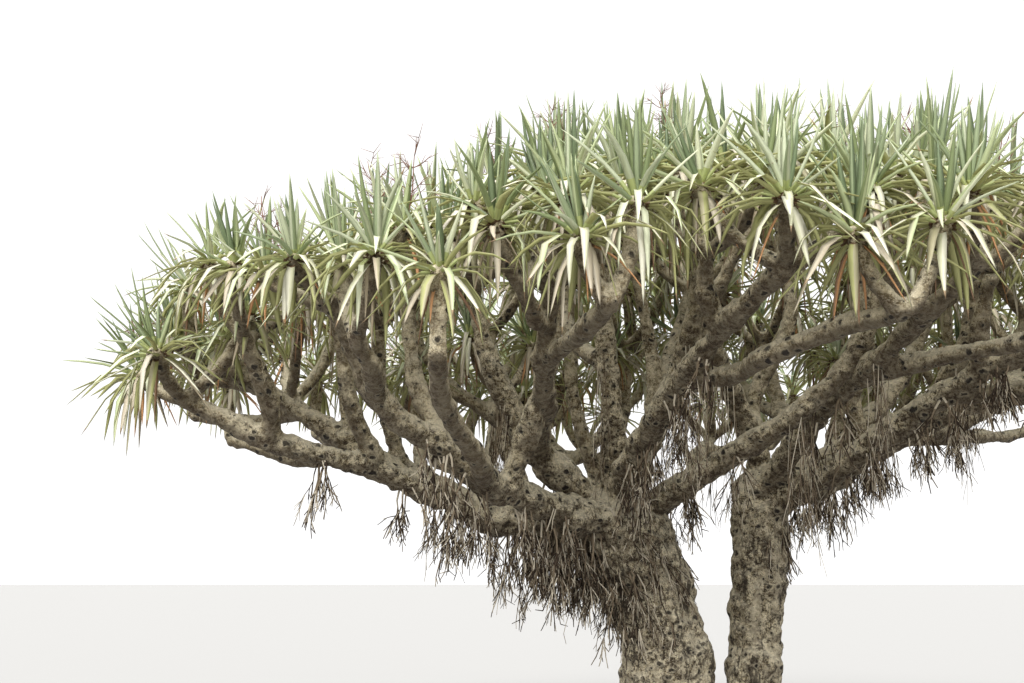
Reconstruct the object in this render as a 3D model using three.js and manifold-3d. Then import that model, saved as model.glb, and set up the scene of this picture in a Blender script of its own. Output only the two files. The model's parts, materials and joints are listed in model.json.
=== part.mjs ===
// An old dragon tree: two stems from one root, sausage-like boughs, and an umbrella crown of rosettes
// of sword leaves. Millimetres, +Z up. The origin is the middle of the main stem's flat cut at ground level.
// Bearings are degrees round the crown's axis: 0 is +X, 90 is +Y, and the tree is mostly seen from 270.
import * as THREE from "three";
import Module from "manifold-3d";
import { mergeVertices } from "three/addons/utils/BufferGeometryUtils.js";

// Crown: the heads of the rosettes lie on a shallow dome round this axis, as far out as its oval edge.
// The dome rises a little towards +X. A metre out from the axis it has fallen by DROP_AT_METRE, and it
// falls faster towards the front and back, as if those distances were DEEP_STRETCH times longer.
const CROWN_AXIS = new THREE.Vector3(350, 0, 0);
const CROWN_TOP = 5000;
const DROP_AT_METRE = 134;
const DROP_POWER = 1.573;
const DEEP_STRETCH = 1.166;
const CROWN_TILT = 0.023;
const CROWN_EDGE = { side: 4650, front: 3850, back: 4150 };

// Stems: foot and head of each one's middle line, how far it bows sideways, its radius at the waist, and
// what the root flare and the crotch add to it.
const STEMS = {
  trunk_main: {
    foot: [0, 0, 0], head: [-420, -10, 2060], bow: 380,
    waist: 350, flare: 190, crotch: 95, lobes: 5,
  },
  trunk_second: {
    foot: [650, 120, 0], head: [860, 150, 2330], bow: 30,
    waist: 205, flare: 130, crotch: 45, lobes: 4,
  },
};
const STEM_SIDES = 12;
const STEM_ROWS = 8;
const ROW_CROWDING = 1.25;
const FLARE_HEIGHT = 230;
const CROTCH_HEIGHT = 420;
const LOBE_DEPTH = 0.16;
// The rounded top of a stem: each ring's share of the radius, and how far above the head it is.
const STEM_CROWN = [[0.8, 110], [0.42, 170]];

// Boughs, by kind. spread and lift place the bend between the root and the tip, and drop is the tip's depth
// below the dome. leaves is how many each rosette at its end has, and sink is how far below the dome they sit.
const KINDS = {
  low: { spread: 0.76, lift: 0.66, drop: 780, leaves: 5, sink: 250 },
  outer: { spread: 0.6, lift: 0.3, drop: 780, leaves: 5, sink: 0 },
  elbow: { spread: 0.96, lift: 0.34, drop: 580, leaves: 5, sink: 0 },
  rising: { spread: 0.55, lift: 0.56, drop: 640, leaves: 5, sink: 0 },
  steep: { spread: 0.42, lift: 0.72, drop: 640, leaves: 5, sink: 0 },
  middle: { spread: 0.92, lift: 0.42, drop: 760, leaves: 4, sink: 0 },
  inner: { spread: 0.75, lift: 0.5, drop: 760, leaves: 4, sink: 0 },
};
// name, kind, what it grows from, share along that, bearing, reach from the crown's axis, root radius
const BOUGHS = [
  ["left_low", "low", "trunk_main", 0.86, 197, 4150, 150],
  ["left_front", "elbow", "trunk_main", 0.94, 219, 3550, 145],
  ["left_high", "middle", "trunk_main", 1.0, 190, 1950, 140],
  ["front", "steep", "trunk_main", 1.03, 270, 3000, 120],
  ["front_left", "outer", "left_high", 0.4, 241, 2830, 95],
  ["left_fork", "rising", "left_low", 0.55, 188, 3800, 90],
  ["left_back", "outer", "trunk_main", 0.9, 141, 3500, 140],
  ["left_far", "outer", "trunk_main", 0.84, 168, 3650, 130],
  ["back_left", "outer", "trunk_main", 0.93, 112, 3300, 140],
  ["right_low", "rising", "trunk_second", 0.92, 322, 3200, 125],
  ["right", "rising", "trunk_second", 0.96, 347, 3500, 120],
  ["front_right", "steep", "trunk_second", 0.98, 295, 3000, 110],
  ["right_back", "rising", "trunk_second", 0.93, 18, 3600, 120],
  ["back_right", "outer", "trunk_second", 0.97, 50, 3600, 115],
  ["back", "outer", "trunk_main", 0.97, 80, 3400, 130],
  ["middle_right", "middle", "trunk_second", 1.02, 12, 2150, 95],
  ["middle_front_left", "middle", "left_front", 0.42, 229, 2000, 90],
  ["middle_front", "middle", "front", 0.36, 262, 1750, 85],
  ["middle_front_right", "middle", "trunk_main", 0.98, 304, 1950, 110],
  ["middle_right_front", "middle", "right", 0.42, 335, 2250, 85],
  ["middle_back_right", "middle", "back_right", 0.38, 62, 2000, 85],
  ["middle_back", "middle", "back_left", 0.4, 104, 2000, 90],
  ["middle_left_back", "middle", "left_back", 0.4, 150, 2100, 90],
  ["top_left", "inner", "trunk_main", 1.04, 198, 900, 120],
  ["top_right", "inner", "trunk_second", 1.05, 262, 650, 95],
  ["top_back", "inner", "trunk_main", 1.02, 88, 850, 110],
];
const BOUGH_SIDES = 6;
const BOUGH_ROW_STEP = 540;
const BOUGH_TIP_RADIUS = 62;
const TAPER_POWER = 0.85;
const KNOT_STEP = 620;
const KINK = 55;
const KNUCKLE = 0.07;

// Foliage: each bough's tip carries a short stem that forks into twigs, and each twig ends in a rosette.
const TWIGS = 4;
const FORK_LENGTH = 130;
const TWIG_SPREAD = [420, 530];
const TWIG_TURN_JITTER = 14;
const HEAD_HEIGHT_JITTER = 50;
const TWIG_BEND = { spread: 0.75, lift: 0.35 };
const TWIG_RADIUS = 54;
const TWIG_HEAD_RADIUS = 62;
const TWIG_SIDES = 4;
const TWIG_ROWS = 2;
const HEAD_SWELL_POWER = 4;
const HEAD_LEAN = 26;

// Leaves of a rosette, from the spear in its middle to the hanging ones below.
const GOLDEN_ANGLE = 137.508;
const LEAF_LENGTH = 640;
const LEAF_WIDTH = 92;
const LEAF_THICKNESS = 16;
const LEAF_RISE = { spear: 80, lowest: -4 };
const LEAF_SAG = { spear: 0.02, lowest: 0.42 };
const ROOT_DEPTH = 60;
const ROOT_BEHIND = 12;
const WIDEST_AT = 0.38;
const TANGENT_STEP = 0.01;
// One that meets a limb or another rosette is tried shorter, by these shares of its length.
const SHORTER = [1, 0.86, 0.72];

// Air roots: tufts that hang from the underside of some boughs.
// bough, share where the tuft begins and ends, strands, longest strand
const ROOT_TUFTS = [
  ["left_low", 0.13, 0.3, 9, 720],
  ["left_low", 0.42, 0.56, 7, 520],
  ["left_front", 0.2, 0.36, 8, 560],
  ["front", 0.3, 0.52, 8, 560],
  ["right_low", 0.2, 0.42, 9, 600],
  ["back", 0.2, 0.4, 8, 560],
];
const PAD_SIDES = 5;
const PAD_ROWS = 2;
const PAD_RADIUS = 0.4;
const PAD_DROP = 0.82;
const STRAND_RADIUS = 19;
const STRAND_SPREAD = 0.22;
const SHORTEST_STRAND = 0.62;
const PAD_MARGIN = 0.08;

// Gap between pieces that meet, and the least gap to a leaf, twig or strand that does not.
const CLEAR = 0.35;
const APART = 4;

// Where each kind of piece starts its random numbers.
const SEEDS = { bough: 1, foliage: 100, airRoots: 200 };

const wasm = await Module();
wasm.setup();

const radians = THREE.MathUtils.degToRad;
const vector = (x, y, z) => new THREE.Vector3(x, y, z);
const UP = vector(0, 0, 1);

// A small repeatable random source. Each bough and mass has its own, so that one doesn't move the others.
function randomSource(seed) {
  let state = (seed * 2654435761) >>> 0;
  return (low, high) => {
    state = (Math.imul(state, 1664525) + 1013904223) >>> 0;
    return low + (high - low) * (state / 4294967296);
  };
}

function crownHeight(point) {
  const [x, y] = [point.x - CROWN_AXIS.x, point.y - CROWN_AXIS.y];
  const metresOut = Math.hypot(x, DEEP_STRETCH * y) / 1000;
  return CROWN_TOP + CROWN_TILT * x - DROP_AT_METRE * metresOut ** DROP_POWER;
}

// How far out the rosettes go at a bearing: an oval that is nearer on the front side.
function crownEdge(bearing) {
  const deep = Math.sin(bearing) < 0 ? CROWN_EDGE.front : CROWN_EDGE.back;
  return 1 / Math.hypot(Math.cos(bearing) / CROWN_EDGE.side, Math.sin(bearing) / deep);
}

function onCrown(bearing, reach) {
  const place = vector(Math.cos(bearing), Math.sin(bearing), 0).multiplyScalar(reach).add(CROWN_AXIS);
  place.z = crownHeight(place);
  return place;
}

// A closed geometry as a solid, with shared vertices merged and collapsed faces dropped.
function solidFrom(geometry) {
  geometry.deleteAttribute("normal");
  geometry.deleteAttribute("uv");
  const merged = mergeVertices(geometry, 1e-4);
  const corners = merged.index.array;
  const kept = [];
  for (let i = 0; i < corners.length; i += 3) {
    const [a, b, c] = corners.slice(i, i + 3);
    if (a !== b && b !== c && c !== a) kept.push(a, b, c);
  }
  const vertProperties = merged.attributes.position.array;
  return new wasm.Manifold(new wasm.Mesh({ numProp: 3, vertProperties, triVerts: new Uint32Array(kept) }));
}

// A solid through a row of sections, made by bending a unit cylinder. A section is a ring of points.
function throughSections(sections) {
  const sides = sections[0].length;
  const rows = sections.length - 1;
  const geometry = new THREE.CylinderGeometry(1, 1, 1, sides, rows);
  const places = geometry.attributes.position;
  for (let i = 0; i < places.count; i++) {
    const ring = sections[Math.round((places.getY(i) + 0.5) * rows)];
    const turn = Math.atan2(places.getX(i), places.getZ(i)) / (2 * Math.PI);
    const inMiddle = Math.hypot(places.getX(i), places.getZ(i)) < 0.5;
    const middle = vector(0, 0, 0);
    if (inMiddle) ring.forEach((p) => middle.addScaledVector(p, 1 / sides));
    const point = inMiddle ? middle : ring[(Math.round(turn * sides) + sides) % sides];
    places.setXYZ(i, point.x, point.y, point.z);
  }
  return solidFrom(geometry);
}

// A round limb along a curve. radiusAt takes the share of its length. swell makes it fatter and longer.
function limbAlong(curve, radiusAt, sides, rows, swell = 0) {
  const frames = curve.computeFrenetFrames(rows, false);
  const sections = [];
  for (let row = 0; row <= rows; row++) {
    const share = row / rows;
    const past = row === 0 ? -swell : row === rows ? swell : 0;
    const centre = curve.getPointAt(share).addScaledVector(frames.tangents[row], past);
    const radius = radiusAt(share) + swell;
    sections.push(
      Array.from({ length: sides }, (_, k) => {
        const turn = (2 * Math.PI * k) / sides;
        return centre
          .clone()
          .addScaledVector(frames.normals[row], radius * Math.sin(turn))
          .addScaledVector(frames.binormals[row], -radius * Math.cos(turn));
      }),
    );
  }
  return throughSections(sections);
}

function largest(solid) {
  return solid.decompose().sort((a, b) => b.volume() - a.volume())[0];
}

function cutClear(solid, others) {
  return others.length ? largest(solid.subtract(wasm.Manifold.union(others))) : solid;
}

// Boxes in the way, so that solids are only measured against near ones.
function nearBoxes(a, b, gap) {
  const [p, q] = [a.boundingBox(), b.boundingBox()];
  return [0, 1, 2].every((i) => p.min[i] - gap < q.max[i] && q.min[i] - gap < p.max[i]);
}

function touches(solid, others) {
  return others.some((other) => nearBoxes(solid, other, APART) && solid.minGap(other, APART) < APART);
}

// Stems: level rings up a bowed middle line, with root lobes at the ground and a rounded head above the fork.
function makeStem({ foot, head, bow, waist, flare, crotch, lobes }, swell = 0) {
  const [low, high] = [vector(...foot), vector(...head)];
  const middle = low.clone().lerp(high, 0.5).add(vector(bow, 0, 0));
  const curve = new THREE.QuadraticBezierCurve3(low, middle, high);
  const radiusAt = (height) =>
    waist + flare * Math.exp(-height / FLARE_HEIGHT) + crotch * Math.exp(-(high.z - height) / CROTCH_HEIGHT);
  const ringAt = (centre, radius, lobed) =>
    Array.from({ length: STEM_SIDES }, (_, k) => {
      const turn = (2 * Math.PI * k) / STEM_SIDES;
      const wide = radius * (1 + lobed * Math.cos(lobes * turn)) + swell;
      return vector(centre.x + wide * Math.sin(turn), centre.y - wide * Math.cos(turn), centre.z);
    });
  const sections = [];
  for (let row = 0; row <= STEM_ROWS; row++) {
    const centre = curve.getPoint((row / STEM_ROWS) ** ROW_CROWDING);
    sections.push(ringAt(centre, radiusAt(centre.z), LOBE_DEPTH * Math.exp(-centre.z / FLARE_HEIGHT)));
  }
  for (const [share, rise] of STEM_CROWN) {
    const centre = high.clone().add(vector(0, 0, rise + (rise === STEM_CROWN.at(-1)[1] ? swell : 0)));
    sections.push(ringAt(centre, radiusAt(high.z) * share, 0));
  }
  return { curve, solid: throughSections(sections) };
}

// A bough's middle line: from its parent's heart, out low, then up to its tip, with a kink at each old fork.
function boughCurve(seed, start, kind, bearing, reach) {
  const random = randomSource(seed);
  const tip = onCrown(radians(bearing), reach);
  tip.z -= kind.drop;
  const bend = start.clone().lerp(tip, kind.spread);
  bend.z = start.z + kind.lift * (tip.z - start.z);
  const smooth = new THREE.QuadraticBezierCurve3(start, bend, tip);
  const knots = Math.max(2, Math.round(smooth.getLength() / KNOT_STEP));
  const points = smooth.getSpacedPoints(knots);
  const kink = () => random(-KINK, KINK);
  points.slice(1, -1).forEach((p) => p.add(vector(kink(), kink(), kink())));
  return new THREE.CatmullRomCurve3(points, false, "catmullrom", 0.5);
}

function pointOn(parent, share) {
  if (share <= 1) return parent.curve.getPointAt(share);
  const top = parent.curve.getPointAt(1);
  return top.addScaledVector(UP, (share - 1) * parent.curve.getLength());
}

const limbs = {};
Object.entries(STEMS).forEach(([name, row]) => {
  limbs[name] = { ...makeStem(row), fat: makeStem(row, CLEAR).solid };
});
limbs.trunk_second.solid = cutClear(limbs.trunk_second.solid, [limbs.trunk_main.fat]);

BOUGHS.forEach(([name, kind, from, share, bearing, reach, rootRadius], i) => {
  const curve = boughCurve(SEEDS.bough + i, pointOn(limbs[from], share), KINDS[kind], bearing, reach);
  const knuckles = curve.points.length - 1;
  const radiusAt = (s) =>
    (BOUGH_TIP_RADIUS + (rootRadius - BOUGH_TIP_RADIUS) * (1 - s) ** TAPER_POWER) *
    (1 + KNUCKLE * Math.cos(2 * Math.PI * knuckles * s));
  const rows = Math.ceil(curve.getLength() / BOUGH_ROW_STEP);
  const whole = limbAlong(curve, radiusAt, BOUGH_SIDES, rows);
  const near = Object.values(limbs).filter((other) => nearBoxes(other.fat, whole, APART));
  const solid = cutClear(whole, near.map((other) => other.fat));
  limbs[name] = { curve, radiusAt, solid, fat: limbAlong(curve, radiusAt, BOUGH_SIDES, rows, CLEAR) };
});
const limbSolids = Object.values(limbs).map((limb) => limb.solid);

// A mass of foliage: the fork at a bough's tip, its twigs, and the head of each rosette.
function makeTwigs(seed, limb, { leaves, sink }, others) {
  const random = randomSource(seed);
  const tip = limb.curve.getPointAt(1);
  const along = limb.curve.getTangentAt(1);
  const start = tip.clone().addScaledVector(along, CLEAR);
  const fork = tip.clone().addScaledVector(along, FORK_LENGTH);
  const tipRadius = () => limb.radiusAt(1);
  const pieces = [limbAlong(new THREE.LineCurve3(start, fork), tipRadius, TWIG_SIDES, 1)];
  const heads = [];
  const firstTurn = random(0, 360);
  for (let k = 0; k < TWIGS; k++) {
    const turn = radians(firstTurn + (360 / TWIGS) * k + random(-TWIG_TURN_JITTER, TWIG_TURN_JITTER));
    const spread = random(...TWIG_SPREAD);
    const height = random(-HEAD_HEIGHT_JITTER, HEAD_HEIGHT_JITTER);
    const end = fork.clone().add(vector(Math.cos(turn), Math.sin(turn), 0).multiplyScalar(spread));
    const out = end.clone().sub(CROWN_AXIS).setZ(0);
    out.setLength(Math.min(out.length(), crownEdge(Math.atan2(out.y, out.x))));
    end.set(CROWN_AXIS.x + out.x, CROWN_AXIS.y + out.y, 0);
    end.z = crownHeight(end) - sink + height;
    const bend = fork.clone().lerp(end, TWIG_BEND.spread);
    bend.z = fork.z + TWIG_BEND.lift * (end.z - fork.z);
    const curve = new THREE.QuadraticBezierCurve3(fork, bend, end);
    const radiusAt = (s) => TWIG_RADIUS + (TWIG_HEAD_RADIUS - TWIG_RADIUS) * s ** HEAD_SWELL_POWER;
    const twig = limbAlong(curve, radiusAt, TWIG_SIDES, TWIG_ROWS);
    if (touches(twig, others)) continue;
    const lean = radians(HEAD_LEAN) * (out.length() / CROWN_EDGE.side) ** 2;
    const axis = out.clone().setLength(Math.sin(lean)).setZ(Math.cos(lean)).normalize();
    pieces.push(twig);
    heads.push({ place: end, axis, twig, turn: random(0, 360), leafCount: leaves });
  }
  return { pieces, heads };
}

// One sword leaf: a keeled blade that starts deep in the head, and sags by its own weight.
function makeLeaf({ place, axis, turn, leafCount }, k, shorten) {
  const share = k / (leafCount - 1);
  const rise = radians(THREE.MathUtils.lerp(LEAF_RISE.spear, LEAF_RISE.lowest, share));
  const sag = THREE.MathUtils.lerp(LEAF_SAG.spear, LEAF_SAG.lowest, share);
  const bearing = radians(turn + GOLDEN_ANGLE * k);
  const east = vector(1, 0, 0).cross(axis).normalize();
  const north = axis.clone().cross(east);
  const out = east.multiplyScalar(Math.cos(bearing)).addScaledVector(north, Math.sin(bearing));
  const side = out.clone().cross(axis);
  const aim = out.clone().multiplyScalar(Math.cos(rise)).addScaledVector(axis, Math.sin(rise));
  const root = place.clone().addScaledVector(axis, -ROOT_DEPTH).addScaledVector(out, -ROOT_BEHIND);
  const length = LEAF_LENGTH * shorten;
  const at = (s) => root.clone().addScaledVector(aim, length * s).addScaledVector(UP, -sag * length * s * s);
  return throughSections(
    [0, WIDEST_AT, 1].map((s) => {
      const along = at(s + TANGENT_STEP).sub(at(s)).normalize();
      const above = side.clone().cross(along);
      const wide = s === WIDEST_AT ? 1 : 0;
      return [
        at(s).addScaledVector(side, (wide * LEAF_WIDTH) / 2),
        at(s).addScaledVector(above, -wide * LEAF_THICKNESS),
        at(s).addScaledVector(side, (-wide * LEAF_WIDTH) / 2),
      ];
    }),
  );
}

const masses = [];
BOUGHS.forEach(([name, kind], i) => {
  const taken = limbSolids.filter((solid) => solid !== limbs[name].solid);
  const others = [...taken, ...masses.flatMap((mass) => mass.pieces)];
  masses.push({ name, ...makeTwigs(SEEDS.foliage + i, limbs[name], KINDS[kind], others) });
});

// Leaves go on one round at a time, so that no mass takes more than its share of the air. One that meets a
// limb or another rosette even when it is shorter is skipped.
const MOST_LEAVES = Math.max(...Object.values(KINDS).map((kind) => kind.leaves));
for (let k = 0; k < MOST_LEAVES; k++) {
  for (const mass of masses) {
    for (const head of mass.heads.filter((h) => k < h.leafCount)) {
      head.leaves ??= [];
      const wood = [...limbSolids, ...masses.flatMap((m) => m.pieces)].filter((p) => p !== head.twig);
      const blades = masses.flatMap((m) => m.heads).filter((h) => h !== head);
      const others = [...wood, ...blades.flatMap((h) => h.leaves ?? [])];
      const tries = SHORTER.map((shorten) => makeLeaf(head, k, shorten));
      const fits = tries.find((leaf) => !touches(leaf, others));
      if (fits) head.leaves.push(fits);
    }
  }
}

// A tuft of air roots: a pad under the bough, and strands that hang from it and thin out to points.
function makeTuft(seed, [boughName, from, to, strands, longest], others) {
  const random = randomSource(seed);
  const { curve, radiusAt, fat } = limbs[boughName];
  const under = (share) => curve.getPointAt(share).addScaledVector(UP, -PAD_DROP * radiusAt(share));
  const middle = (from + to) / 2;
  const padCurve = new THREE.QuadraticBezierCurve3(under(from), under(middle), under(to));
  const pieces = [limbAlong(padCurve, () => PAD_RADIUS * radiusAt(middle), PAD_SIDES, PAD_ROWS)];
  for (let k = 0; k < strands; k++) {
    const top = padCurve.getPoint(THREE.MathUtils.lerp(PAD_MARGIN, 1 - PAD_MARGIN, k / (strands - 1)));
    const length = longest * random(SHORTEST_STRAND, 1);
    const lean = vector(random(-1, 1), random(-1, 1), 0).multiplyScalar(STRAND_SPREAD * length);
    const end = top.clone().add(lean).addScaledVector(UP, -length);
    const strand = limbAlong(new THREE.LineCurve3(top, end), (s) => STRAND_RADIUS * (1 - s), 3, 1);
    if (!touches(strand, others)) pieces.push(strand);
  }
  return cutClear(wasm.Manifold.union(pieces), [fat, ...limbFatsNear(pieces[0], boughName)]);
}

function limbFatsNear(solid, except) {
  const others = Object.entries(limbs).filter(([name]) => name !== except);
  return others.map(([, limb]) => limb.fat).filter((fat) => nearBoxes(fat, solid, APART));
}

// Materials, and the named meshes.
const bark = new THREE.MeshStandardMaterial({ color: 0x81766a, roughness: 0.92 });
const youngBark = new THREE.MeshStandardMaterial({ color: 0x8d8371, roughness: 0.9 });
const leafGreen = new THREE.MeshStandardMaterial({ color: 0x8fa277, roughness: 0.6 });
const rootBrown = new THREE.MeshStandardMaterial({ color: 0x5f5346, roughness: 0.95 });

function meshOf(name, solid, material) {
  const { vertProperties, triVerts } = solid.getMesh();
  const geometry = new THREE.BufferGeometry();
  geometry.setAttribute("position", new THREE.BufferAttribute(vertProperties, 3));
  geometry.setIndex(new THREE.BufferAttribute(triVerts, 1));
  geometry.computeVertexNormals();
  const mesh = new THREE.Mesh(geometry, material);
  mesh.name = name;
  return mesh;
}

const tree = new THREE.Group();
Object.entries(limbs).forEach(([name, limb]) => {
  const isStem = name in STEMS;
  tree.add(meshOf(isStem ? name : `bough_${name}`, limb.solid, isStem ? bark : youngBark));
});
masses.forEach(({ name, pieces, heads }) => {
  const whole = wasm.Manifold.union([...pieces, ...heads.flatMap((head) => head.leaves)]);
  tree.add(meshOf(`foliage_${name}`, largest(whole), leafGreen));
});
ROOT_TUFTS.forEach((row, i) => {
  const others = [
    ...Object.entries(limbs).filter(([name]) => name !== row[0]).map(([, limb]) => limb.solid),
    ...masses.flatMap((mass) => [...mass.pieces, ...mass.heads.flatMap((head) => head.leaves)]),
  ];
  tree.add(meshOf(`air_roots_${i + 1}_${row[0]}`, makeTuft(SEEDS.airRoots + i, row, others), rootBrown));
});

export default tree;
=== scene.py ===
# An old dragon tree: two stems from one root, sausage-like boughs that fork again and again, and an
# umbrella crown of sword-leaf rosettes over tufts of hanging air roots. Metres, +Z up, with the origin at
# the foot of the main stem. Bearings are degrees round the crown's axis, with 0 at +X and 90 at +Y.
import json
import math
from collections import namedtuple

import bpy
import numpy as np
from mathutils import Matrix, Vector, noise

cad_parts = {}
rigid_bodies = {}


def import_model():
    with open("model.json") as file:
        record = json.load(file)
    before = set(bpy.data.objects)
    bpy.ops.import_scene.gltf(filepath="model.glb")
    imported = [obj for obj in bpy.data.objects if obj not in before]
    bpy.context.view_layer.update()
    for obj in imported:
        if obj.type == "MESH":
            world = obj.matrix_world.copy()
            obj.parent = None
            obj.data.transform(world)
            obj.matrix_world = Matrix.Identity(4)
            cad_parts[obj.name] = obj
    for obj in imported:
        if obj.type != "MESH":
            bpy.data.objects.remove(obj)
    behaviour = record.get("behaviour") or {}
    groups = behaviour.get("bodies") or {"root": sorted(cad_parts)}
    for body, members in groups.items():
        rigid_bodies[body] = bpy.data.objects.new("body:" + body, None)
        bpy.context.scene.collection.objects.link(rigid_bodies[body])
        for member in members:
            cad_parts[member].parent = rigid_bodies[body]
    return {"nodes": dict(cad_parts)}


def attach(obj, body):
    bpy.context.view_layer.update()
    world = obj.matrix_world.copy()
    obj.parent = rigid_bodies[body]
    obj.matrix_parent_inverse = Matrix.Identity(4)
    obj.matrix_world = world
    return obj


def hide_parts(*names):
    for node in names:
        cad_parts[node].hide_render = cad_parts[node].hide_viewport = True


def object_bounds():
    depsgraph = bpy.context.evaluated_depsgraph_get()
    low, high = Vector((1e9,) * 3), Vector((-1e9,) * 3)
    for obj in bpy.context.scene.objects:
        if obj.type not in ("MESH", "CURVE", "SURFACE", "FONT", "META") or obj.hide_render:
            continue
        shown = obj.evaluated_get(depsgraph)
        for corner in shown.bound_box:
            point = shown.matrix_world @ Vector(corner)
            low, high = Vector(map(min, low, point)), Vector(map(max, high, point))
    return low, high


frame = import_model()
cad_box = np.array(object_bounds())

# Crown: the heads of the rosettes lie on a shallow dome round this axis, as far out as its oval edge. It
# rises a little towards +X, and falls faster to the front and back, as if those distances were stretched.
CROWN_AXIS = np.array([0.35, 0.0, 0.0])
CROWN_TOP = 5.0
DROP_AT_METRE = 0.134
DROP_POWER = 1.573
DEEP_STRETCH = 1.166
CROWN_TILT = 0.023
CROWN_EDGE = {"side": 4.65, "front": 3.85, "back": 4.15}

# Stems: foot and head of each one's middle line, how far it bows sideways, its radius at the waist, and
# what the root flare and the crotch add to it.
STEMS = {
    "trunk_main": {
        "foot": (0, 0, 0), "head": (-0.42, -0.01, 2.06), "bow": 0.38,
        "waist": 0.35, "flare": 0.19, "crotch": 0.095, "lobes": 5,
    },
    "trunk_second": {
        "foot": (0.65, 0.12, 0), "head": (0.86, 0.15, 2.33), "bow": 0.03,
        "waist": 0.205, "flare": 0.13, "crotch": 0.045, "lobes": 4,
    },
}
FLARE_HEIGHT = 0.23
CROTCH_HEIGHT = 0.42
LOBE_DEPTH = 0.16
STEM_CROWN = ((0.8, 0.11), (0.42, 0.17))

# Limbs, by kind: the bend's place between root and tip, as shares of the way out and up, how far below the
# dome the tip is and the rosettes sink, and the kinks at the knots.
Kind = namedtuple("Kind", "spread lift drop sink kink", defaults=(0, 0, 0.055))
KINDS = {
    "low": Kind(0.76, 0.66, 0.78, 0.25),
    "outer": Kind(0.6, 0.3, 0.78),
    "elbow": Kind(0.96, 0.34, 0.58),
    "rising": Kind(0.55, 0.56, 0.64),
    "steep": Kind(0.42, 0.72, 0.64),
    "middle": Kind(0.92, 0.42, 0.76),
    "inner": Kind(0.75, 0.5, 0.76),
    "side": Kind(0.72, 0.4, kink=0.09),
}
# name, kind, what it grows from, share along that, bearing, reach from the crown's axis, root radius
Bough = namedtuple("Bough", "name kind parent share bearing reach root_radius")
BOUGHS = [Bough(*facts) for facts in (
    ("left_low", "low", "trunk_main", 0.86, 197, 4.15, 0.15),
    ("left_front", "elbow", "trunk_main", 0.94, 219, 3.55, 0.145),
    ("left_high", "middle", "trunk_main", 1.0, 190, 1.95, 0.14),
    ("front", "steep", "trunk_main", 1.03, 270, 3.0, 0.12),
    ("front_left", "outer", "left_high", 0.4, 241, 2.83, 0.095),
    ("left_fork", "rising", "left_low", 0.55, 188, 3.8, 0.09),
    ("left_back", "outer", "trunk_main", 0.9, 141, 3.5, 0.14),
    ("left_far", "outer", "trunk_main", 0.84, 168, 3.65, 0.13),
    ("back_left", "outer", "trunk_main", 0.93, 112, 3.3, 0.14),
    ("right_low", "rising", "trunk_second", 0.92, 322, 3.2, 0.125),
    ("right", "rising", "trunk_second", 0.96, 347, 3.5, 0.12),
    ("front_right", "steep", "trunk_second", 0.98, 295, 3.0, 0.11),
    ("right_back", "rising", "trunk_second", 0.93, 18, 3.6, 0.12),
    ("back_right", "outer", "trunk_second", 0.97, 50, 3.6, 0.115),
    ("back", "outer", "trunk_main", 0.97, 80, 3.4, 0.13),
    ("middle_right", "middle", "trunk_second", 1.02, 12, 2.15, 0.095),
    ("middle_front_left", "middle", "left_front", 0.42, 229, 2.0, 0.09),
    ("middle_front", "middle", "front", 0.36, 262, 1.75, 0.085),
    ("middle_front_right", "middle", "trunk_main", 0.98, 304, 1.95, 0.11),
    ("middle_right_front", "middle", "right", 0.42, 335, 2.25, 0.085),
    ("middle_back_right", "middle", "back_right", 0.38, 62, 2.0, 0.085),
    ("middle_back", "middle", "back_left", 0.4, 104, 2.0, 0.09),
    ("middle_left_back", "middle", "left_back", 0.4, 150, 2.1, 0.09),
    ("top_left", "inner", "trunk_main", 1.04, 198, 0.9, 0.12),
    ("top_right", "inner", "trunk_second", 1.05, 262, 0.65, 0.095),
    ("top_back", "inner", "trunk_main", 1.02, 88, 0.85, 0.11),
)]
BOUGH_TIP_RADIUS = 0.062
TAPER_POWER = 0.85
KNOT_STEP = 0.62
KNUCKLE = 0.07
# the bearings between which the main stem's boughs belong to the wood of the back
BACK_BEARINGS = (60, 175)

# Twigs of a mass, as its solid has them.
TWIGS = 4
FORK_LENGTH = 0.13
TWIG_SPREAD = (0.42, 0.53)
TWIG_TURN_JITTER = 14
HEAD_HEIGHT_JITTER = 0.05
TWIG_BEND = {"spread": 0.75, "lift": 0.35}
TWIG_RADIUS = 0.05
HEAD_RADIUS = 0.058
HEAD_LEAN = 26
NEAR_TIP = 0.999
# how near to a twig's end the solid has a point, if it has that twig
FOUND_WITHIN = 0.08
GOLDEN_ANGLE = 137.508

# Seeds of the random numbers. The first two are the solids' own.
SEEDS = {
    "bough": 1, "foliage": 100, "fill": 300, "side": 400, "shaded": 600, "rosette": 1000,
    "roots": 7, "stalks": 11,
}

# Finer limbs: rosettes that fill the dome between the masses, and what carries them.
FILL_POINTS = 420
FILL_EDGE = 0.97
LIFTED_PLACES = [(-3.48, -1.62, 3.84), (-3.2, -2.05, 3.72), (-3.86, -0.8, 3.86)]
FILL_RISE = (-0.24, 0.04)
# Shaded ones under the dome's back half: how many are tried, where between axis and edge, how far down,
# the lowest and the foremost that are kept, and how far apart.
SHADED_POINTS = 110
SHADED_BAND = (0.25, 0.76)
SHADED_DROP = (0.45, 0.85)
SHADED_LOWEST = 3.45
SHADED_FRONT = 0.2
SHADED_SPACING = 0.6
LEAF_ROOM = 0.42
HEAD_SPACING = 0.4
CLUSTER_REACH = 0.8
CLUSTER_SIZE = 3
CLUSTER_FORK = 0.5
SIDE_LIMB_RADIUS = 0.072
SIDE_LIMB_TIP = 0.054
# the most that its root may be of its bough's radius
SIDE_LIMB_SHARE = 0.9
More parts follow.
